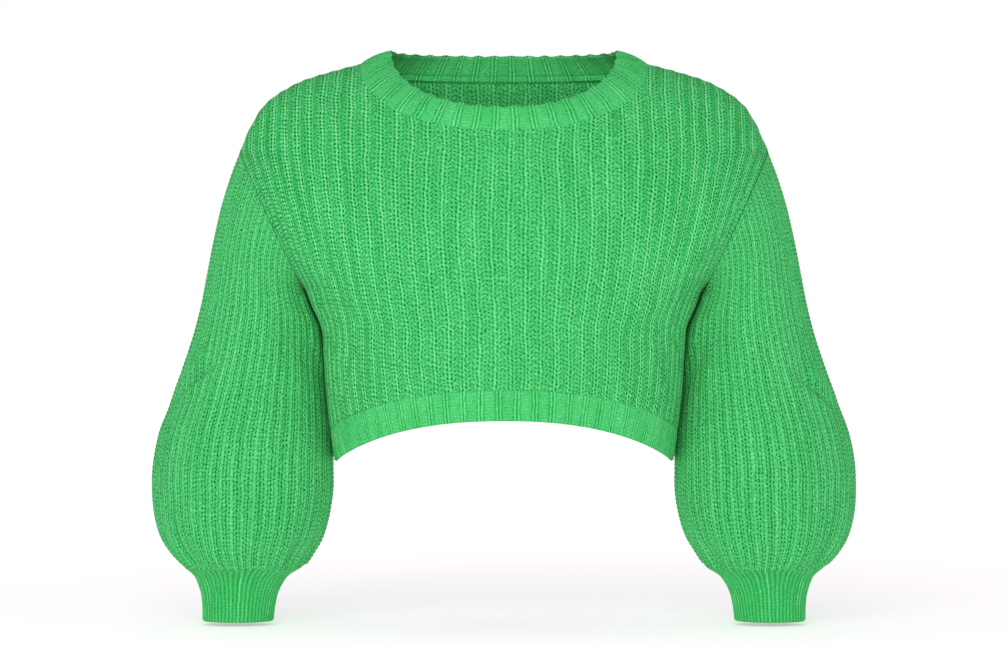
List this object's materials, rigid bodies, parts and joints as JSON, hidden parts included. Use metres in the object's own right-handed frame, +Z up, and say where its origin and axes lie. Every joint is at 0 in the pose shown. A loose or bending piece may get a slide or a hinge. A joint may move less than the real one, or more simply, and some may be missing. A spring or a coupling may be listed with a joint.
{
  "type": "cropped knit sweater",
  "caption": "Cropped crew-neck sweater in chunky rib knit with dropped shoulders, balloon sleeves, ribbed hem and cuffs, filled out and hollow.",
  "frame": {"origin": "midway between the two points where the neckband meets the shoulder seams, which rest on the wearer's shoulders", "axes": "+Z up, the front faces -Y, the wearer's left side is +X"},
  "size_m": [0.7442, 0.2295, 0.6],
  "materials": {
    "chunky_rib_knit": "matt, softly fuzzy yarn in a deep rib",
    "fine_ribbing": "matt, finer and flatter rib"
  },
  "bodies": {
    "root": {"front_panel": "chunky_rib_knit", "back_panel": "chunky_rib_knit", "left_sleeve": "chunky_rib_knit", "right_sleeve": "chunky_rib_knit", "front_hem_rib": "fine_ribbing", "back_hem_rib": "fine_ribbing", "neckband": "fine_ribbing", "left_cuff": "fine_ribbing", "right_cuff": "fine_ribbing"}
  },
  "joints": []
}
